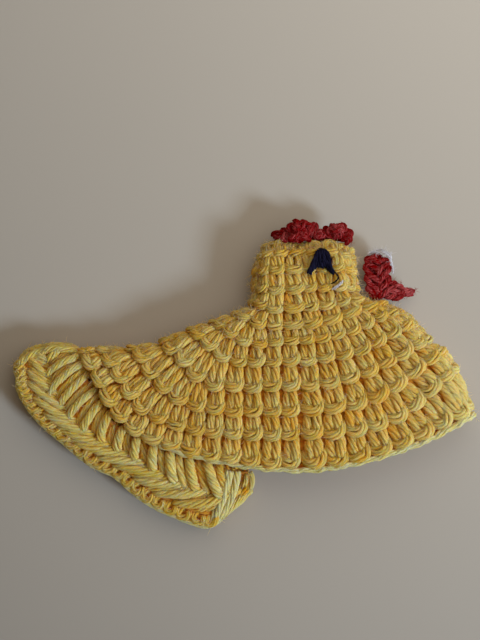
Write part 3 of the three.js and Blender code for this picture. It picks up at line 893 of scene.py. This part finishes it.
def frillStitches():
    upper, lower = [], []
    rng = random.Random(23)
    toEnd, folded = frill["stitchesToEnd"], frill["foldStitches"]
    places = [((k + 0.5) / toEnd * frill["upperEnd"], frill["upperEnd"] / toEnd) for k in range(toEnd)]
    places += [(-(k + 0.5) / folded, 1 / folded) for k in range(folded)]
    far = toEnd + 1
    places += [(-1 - (k + 0.5) / far * lastSection, lastSection / far) for k in range(far)]
    inner, outer = frill["innerSlant"], frill["outerSlant"]
    for v, share in places:
        strands = upper if v > -1 else lower
        part = min(max(v if v > 0 else -1 - v, 0) / lastSection, 1)
        facing = 1 if v > -0.5 else -1
        for low, high, slants, rows, yarn in (
            (0.02, 0.5, inner, postRows, "post"), (0.02, 0.48, inner, backRows, "leaf"),
            (0.47, 0.76, outer, leafRows, "leaf"), (0.47, 0.76, outer, backRows, "leaf"),
        ):
            _, _, stepV, _ = frillFrame(v, (low + high) / 2)
            width = max(float(np.linalg.norm(stepV)) * share, 3.2)
            frillPost(strands, v, width, low, high, lerp(*slants, part) * facing, rng, rows, yarn)
        frillRim(strands, v, rng)
        if v > -1:
            frillRim(strands, v + share * 0.5, rng)
    for v in (-0.2, -0.55):  # fills the tail's fold
        frillPost(upper, v, 3.6, 0.04, 0.56, 0.0, rng, postRows, "post")
        frillPost(upper, v, 3.6, 0.42, 0.9, 0.0, rng, postRows, "post")
    for k in range(5):
        # the far layer's inner face, where it shows past the end of the near one
        v = -1 - lerp(frill["upperEnd"] - 0.7, lastSection - 0.1, (k + 0.5) / 5)
        frillPost(lower, v, 2.6, 0.06, 0.52, 0.3, rng, postRows, "leaf", inside=True)
        frillPost(lower, v, 2.6, 0.5, 0.95, 0.3, rng, leafRows, "leaf", inside=True)
    for name, strands, sides in (("frill-stitches", upper, 6), ("frill-stitches-far-side", lower, 4)):
        yarnPiece(name, "frill", strands, frillYarnPaintedLight, sides, onTable)


def frillCloth():
    def pointAt(x, y):
        v = lerp(frill["upperEnd"] - 0.1, -1 - lastSection + 0.1, x)
        return onFrill(v, lerp(0.03, 0.95, y))

    return gridPiece(
        "frill-cloth", "frill", 90, 12, pointAt, lambda x, y: (x * 24, y * 4), frill["clothThickness"])


def frillChain():
    strands = []
    rng = random.Random(31)
    stops = [(frill["upperEnd"], a) for a in np.linspace(0.02, 0.9, 12)]
    stops += [(v, 0.985) for v in np.linspace(frill["upperEnd"] - 0.1, -1 - lastSection + 0.1, 180)]
    stops += [(-1 - lastSection, a) for a in np.linspace(0.9, 0.02, 12)]
    path, normals = [], []
    for v, across in stops:
        point, normal, _, _ = frillFrame(v, across)
        path.append(point)
        normals.append(normal)
    layYarn(strands, smoothPath(path, 320), smoothPath(normals, 320), 0.8, yarns["chain"], rng, 0.6)
    for past in (0.12, 0.42):
        # the end of the upper layer
        rows = [frillFrame(frill["upperEnd"] + past, a) for a in np.linspace(0.04, 0.97, 9)]
        ends = np.sin(np.linspace(0, math.pi, 9)) * 0.9 - 0.3 - past
        path = smoothPath([row[0] + row[1] * rise for row, rise in zip(rows, ends)], 40)
        normals = smoothPath([row[1] for row in rows], 40)
        layYarn(strands, path, normals, 0.8, yarns["leaf"], rng, 0.5)
    yarnPiece("frill-chain", "frill", strands, paleYarnPaintedLit, floorAt=onTable)


frillBand = frillCloth()
frillStitches()
frillChain()


# comb and wattle
# each loop: foot, tip and half its width
combLoops = [
    ([9.6, 33.2, 7.2], [6.8, 34.4, 5.4], 1.1), ([11.0, 33.2, 7.6], [9.2, 35.4, 5.8], 1.2),
    ([12.4, 34.0, 7.2], [11.0, 36.8, 5.8], 1.4), ([14.2, 34.6, 7.2], [14.2, 37.6, 6.0], 1.5),
    ([15.8, 34.2, 7.0], [17.4, 36.8, 5.8], 1.3), ([17.6, 33.4, 7.2], [19.0, 35.0, 5.8], 1.1),
    ([20.2, 33.6, 7.0], [20.2, 35.8, 5.6], 1.1), ([21.8, 33.6, 7.2], [22.6, 36.6, 6.0], 1.3),
    ([23.6, 34.0, 7.0], [24.2, 36.8, 5.8], 1.3), ([24.2, 33.2, 7.4], [26.2, 35.0, 5.8], 1.3),
]
# lumps of curled yarn: middle, half sizes and how many bends of yarn
combLumps = [
    ([8.6, 33.9, 6.2], [2.2, 1.3, 1.2], 9), ([13.6, 35.2, 6.4], [3.9, 2.9, 2.6], 44),
    ([18.4, 34.0, 6.2], [1.9, 1.2, 1.4], 9), ([22.6, 35.0, 6.2], [3.2, 2.4, 2.3], 30),
    ([25.4, 33.0, 6.8], [1.6, 1.5, 1.6], 11), ([13.0, 32.9, 8.2], [3.2, 1.4, 1.3], 18),
    ([10.0, 33.2, 7.4], [2.0, 1.0, 1.0], 8),
]
wattleLoops = [
    ([32.2, 27.2, 4.4], [33.6, 29.2, 3.8], 1.5), ([33.2, 26.2, 4.6], [30.5, 28.4, 4.0], 1.5),
    ([33.4, 26.4, 4.6], [35.7, 28.0, 3.8], 1.4), ([33.2, 23.8, 5.2], [30.2, 26.6, 4.6], 1.5),
    ([33.4, 24.0, 5.2], [35.8, 26.4, 4.2], 1.4), ([33.2, 21.2, 5.2], [30.2, 23.8, 4.6], 1.5),
    ([33.4, 21.2, 5.2], [35.8, 23.8, 4.2], 1.4), ([33.0, 19.0, 4.8], [30.8, 21.2, 4.4], 1.4),
    ([33.4, 19.0, 4.8], [35.4, 21.4, 4.2], 1.4), ([33.2, 22.4, 4.4], [32.6, 18.2, 4.4], 1.5),
    ([34.8, 21.4, 4.4], [37.8, 21.8, 4.0], 1.3), ([34.4, 19.8, 4.4], [37.4, 19.2, 4.0], 1.3),
    ([36.6, 21.6, 4.2], [39.6, 20.0, 3.8], 1.3), ([36.8, 18.6, 4.0], [39.2, 19.2, 3.6], 1.1),
    ([38.6, 20.2, 3.8], [42.0, 20.0, 3.2], 0.8),
]
# one side of a sewn loop, from its foot: across in half widths, share of its length, and rise in mm
loopSide = [(0.35, -0.1, -1.2), (0.7, 0.05, -0.2), (1, 0.35, 0.3), (0.95, 0.68, 0.45), (0.5, 0.93, 0.3)]
loopRows = [(-across, share, rise) for across, share, rise in loopSide] + [(0, 1, 0.2)] + loopSide[::-1]


def sewnLoops(name, node, loops, seed):
    strands = []
    rng = random.Random(seed)
    for foot, tip, half in loops:
        foot, tip = np.array(foot), np.array(tip)
        sideways = unit(np.cross(upward, unit(tip - foot))) * (half - 0.55)
        rows = []
        for across, share, rise in loopRows:
            loose = np.array([rng.uniform(-0.16, 0.16) for _ in range(3)])
            rows.append(lerp(foot, tip, share) + sideways * across + upward * rise + loose)
        path = smoothPath(rows, 26)
        rise = np.clip((path[:, 2] - path[:, 2].min()) / 1.8, 0.05, 1)
        layYarn(strands, path, upward, rise, yarns["red"], rng, fuzz="red")
    yarnPiece(name, node, strands, redYarn)


def twistedLine(strands, rows, yarn, rng, steps, lift=0.8, fuzz="red"):
    layYarn(strands, smoothPath(rows, steps), upward, lift, yarns[yarn], rng, fuzz=fuzz)


def curledLump(strands, middle, half, bends, rng):
    # yarn that wanders over the top of a lump and turns back at its edge
    at, heading = np.zeros(2), rng.uniform(0, 2 * math.pi)
    rows = []
    for _ in range(bends):
        heading += rng.uniform(-1.5, 1.5)
        ahead = at + 1.5 * np.array([math.cos(heading), math.sin(heading)])
        if np.linalg.norm(ahead / half[:2]) > 1:
            heading = math.atan2(-at[1], -at[0]) + rng.uniform(-0.9, 0.9)
            ahead = at + 1.5 * np.array([math.cos(heading), math.sin(heading)])
        at = ahead
        dome = math.sqrt(max(1 - float(np.linalg.norm(at / half[:2])) ** 2, 0))
        rise = half[2] * dome * rng.uniform(0.55, 1.05)
        rows.append([middle[0] + at[0], middle[1] + at[1], middle[2] + rise])
    path = smoothPath(rows, len(rows) * 4)
    rise = np.clip((path[:, 2] - middle[2]) / half[2], 0, 1) * 0.6 + 0.25
    layYarn(strands, path, upward, rise, yarns["curl"], rng, fuzz="red")


# yarn that lies under the loops, and at the wattle's tip, as points in mm
combBase = [
    [[7.2, 33.4, 5.4], [10.5, 33.2, 5.6], [14, 33.4, 5.8], [18, 33.2, 5.6], [19.6, 33.0, 5.4],
     [22, 33.4, 5.6], [25.6, 33, 5.4]],
    [[8.4, 34.6, 5.0], [11.5, 35.4, 5.0], [14, 35.8, 5.0], [17, 35, 5.0], [19.6, 34.2, 4.8],
     [22, 35.2, 5.0], [25.2, 34.6, 5.0]],
]
wattleMiddle = [[33.4, 28.6, 3.2], [33.0, 25, 3.2], [33.0, 21.6, 3.0], [35.6, 20.8, 2.8], [39.4, 20.4, 2.6]]
wattleEdges = [
    [[31.8, 27.8, 2.8], [31.4, 25, 2.8], [31.8, 22.2, 2.8], [33.6, 20.4, 2.6]],
    [[35.2, 28.2, 2.8], [35.3, 25, 2.8], [35.4, 22.8, 2.8], [37.4, 21.4, 2.8]],
]
wattleTip = [
    [[38.0, 21.2, 3.8], [40.4, 20.7, 3.6], [42.8, 20.3, 3.0]],
    [[38.4, 19.4, 3.6], [40.6, 19.3, 3.4], [42.4, 19.6, 2.8]],
]


def combPieces():
    sewnLoops("comb-loops", "comb", combLoops, 3)
    rng = random.Random(4)
    strands = []
    for rows in combBase:
        twistedLine(strands, rows, "red", rng, 60, 0.3)
    yarnPiece("comb-base", "comb", strands, redYarn)
    strands = []
    for middle, half, bends in combLumps:
        curledLump(strands, middle, half, bends, rng)
    yarnPiece("comb-curls", "comb", strands, redYarn)


def wattlePieces():
    sewnLoops("wattle-loops", "wattle", wattleLoops, 8)
    strands = []
    rng = random.Random(9)
    twistedLine(strands, wattleMiddle, "red", rng, 60, 0.3)
    for x in (31.2, 32.1, 33.0, 33.9, 34.8):
        rows = [[x + 0.4, 28.4, 3.0], [x, 25.4, 3.7], [x + 0.2, 22.6, 3.9], [x + 0.5, 19.6, 3.6]]
        twistedLine(strands, rows, "red", rng, 30, 0.45)
    for y in (19.2, 20.0, 20.8, 21.5):
        rows = [[33.6, y + 0.4, 3.4], [36.2, y + 0.1, 3.4], [39.2, y * 0.5 + 10.1, 2.9]]
        twistedLine(strands, rows, "red", rng, 24, 0.45)
    for rows in wattleEdges:
        twistedLine(strands, rows, "red", rng, 40, 0.3)
    for rows in wattleTip:
        twistedLine(strands, rows, "curl", rng, 20, 0.8)
    yarnPiece("wattle-base", "wattle", strands, redYarn)


combPieces()
wattlePieces()
print("comb and wattle made")

# eye, beak and threads
face = {"top": 11.7, "fall": 1.2, "fallFrom": 28.5, "fallOver": 3.5}  # mm, the height of the near side
eye = {"top": np.array([19.2, 31.2]), "shift": np.array([-0.6, -1.55]), "scale": 0.88}
# satin stitches of the eye, each from and to a point in mm, before the eye's shift and scale
eyeStitches = [
    ([18.4, 31.0], [15.4, 24.4]), ([18.0, 30.6], [16.0, 24.2]), ([18.8, 31.2], [16.5, 25.0]),
    ([17.4, 29.4], [17.4, 25.8]), ([19.2, 31.2], [18.2, 26.2]), ([18.2, 29.6], [19.0, 26.2]),
    ([19.6, 31.1], [19.4, 25.9]), ([19.4, 30.2], [20.4, 26.0]), ([20.2, 30.8], [21.0, 25.2]),
    ([20.8, 30.2], [21.7, 24.6]), ([20.4, 29.0], [22.3, 24.2]), ([18.9, 30.8], [20.2, 26.6]),
    ([17.6, 28.4], [15.7, 25.0]), ([21.0, 29.2], [21.6, 25.4]),
]
# share of a stitch's length and rise over the face in mm
satinRise = [(0, -0.9), (0.06, 0.3), (0.25, 0.9), (0.5, 1.05), (0.75, 0.9), (0.94, 0.3), (1, -0.9)]
# threads on the face, and the loop of yarn at the beak
darkThread = [
    [21.3, 24.4, 11.8], [22.0, 23.4, 12.2], [22.6, 22.4, 12.2], [22.0, 21.5, 12.0], [20.8, 20.9, 11.4],
]
whiteThreads = [
    [[20.9, 19.4, 11.2], [21.7, 20.0, 12.1], [22.6, 20.6, 12.3], [23.4, 21.3, 12.2], [23.8, 21.9, 11.2]],
    [[21.6, 19.4, 11.2], [22.4, 20.1, 12.3], [23.3, 20.9, 12.4], [23.7, 21.5, 11.9]],
]
beakRows = [
    [30.2, 28.8, 3.4], [31.8, 30.0, 4.0], [33.6, 30.6, 4.4], [35.4, 30.1, 4.4], [36.5, 28.8, 4.2],
    [36.9, 26.8, 3.8], [37.0, 24.8, 3.4],
]


def faceTop(y):
    return face["top"] - face["fall"] * max(0, (y - face["fallFrom"]) / face["fallOver"]) ** 2


def faceThreads():
    rng = random.Random(17)
    strands = []
    for start, end in eyeStitches:
        rows = []
        for share, rise in satinRise:
            point = lerp(np.array(start), np.array(end), share)
            x, y = eye["top"] + (point - eye["top"]) * eye["scale"] + eye["shift"]
            rows.append([x, y, faceTop(y) + rise])
        twistedLine(strands, rows, "satin", rng, 18, fuzz="navy")
    yarnPiece("eye-stitches", "eye", strands, navyYarn)
    strands = []
    twistedLine(strands, darkThread, "thread", rng, 20, 0.4, fuzz=None)
    yarnPiece("dark-thread", "eye", strands, navyYarn)
    strands = []
    for rows in whiteThreads:
        twistedLine(strands, rows, "thread", rng, 20, 0.9, fuzz=None)
    yarnPiece("white-thread", "beak", strands, whiteYarn)
    strands = []
    for _ in range(6):
        spread = np.array([rng.uniform(-0.5, 0.3), rng.uniform(-0.6, 0.1), rng.uniform(-0.3, 0.5)])
        first, last = rng.randrange(0, 2), rng.randrange(5, 8)
        rows = []
        for row in beakRows[first:last]:
            rows.append(np.array(row) + spread + [rng.uniform(-0.25, 0.25) for _ in range(3)])
        twistedLine(strands, rows, "fluffy", rng, 40, 0.9, fuzz="white")
    yarnPiece("beak-yarn", "beak", strands, whiteYarn)


faceThreads()
print("eye, beak and threads made")

# loose fibres that stand off the yarn
fibreCounts = {
    # lengths and radii in mm; edgeShare is the share that stands off the cosy's outline
    "yellow": {"fibres": 4400, "length": (0.7, 2.3), "radius": 0.045, "edgeShare": 0.3},
    "red": {"fibres": 450, "length": (0.5, 1.6), "radius": 0.035, "edgeShare": 0},
    "white": {"fibres": 150, "length": (0.5, 1.9), "radius": 0.03, "edgeShare": 0},
    "navy": {"fibres": 60, "length": (0.4, 1.2), "radius": 0.03, "edgeShare": 0},
}


def looseFibres(colour, node, material):
    chosen = fibreCounts[colour]
    strands = []
    rng = random.Random(len(colour))
    roots = fuzzRoots[colour]
    edges = [root for root in roots if root[1][2] < 0.75 and root[0][2] > 3]
    for number in range(chosen["fibres"]):
        some = edges if number < chosen["fibres"] * chosen["edgeShare"] else roots
        point, normal, tangent, out = some[rng.randrange(len(some))]
        sideways = np.cross(normal, tangent)
        turn = rng.uniform(0, 2 * math.pi)
        lean = math.cos(turn) * tangent + math.sin(turn) * sideways + normal * rng.uniform(0.1, 0.9)
        lean = unit(lean)
        bend = unit(np.array([rng.uniform(-1, 1), rng.uniform(-1, 1), rng.uniform(-0.8, 0.4)]))
        length = rng.uniform(*chosen["length"])
        start = point + unit(math.sin(turn) * sideways + normal * 0.8) * out * 0.9
        path = [start]
        for i in range(1, 5):
            path.append(path[-1] + unit(lean + bend * 0.35 * i) * length / 4)
        path = np.array(path)
        path[:, 2] = np.maximum(path[:, 2], 0.1)
        strands.append({
            "points": path, "radius": chosen["radius"] * np.array([0.6, 1, 1, 0.8, 0.2]),
            "along": np.linspace(0, length, 5), "lift": np.full(5, 0.9), "shade": rng.uniform(0.4, 1),
            "start": rng.uniform(0, 500),
        })
    return yarnPiece("fibres-" + colour, node, strands, material, sides=4)


looseFibres("yellow", "body", paleYarnPaintedLit)
looseFibres("red", "comb", redYarn)
looseFibres("white", "beak", whiteYarn)
looseFibres("navy", "eye", navyYarn)
print("loose fibres laid")
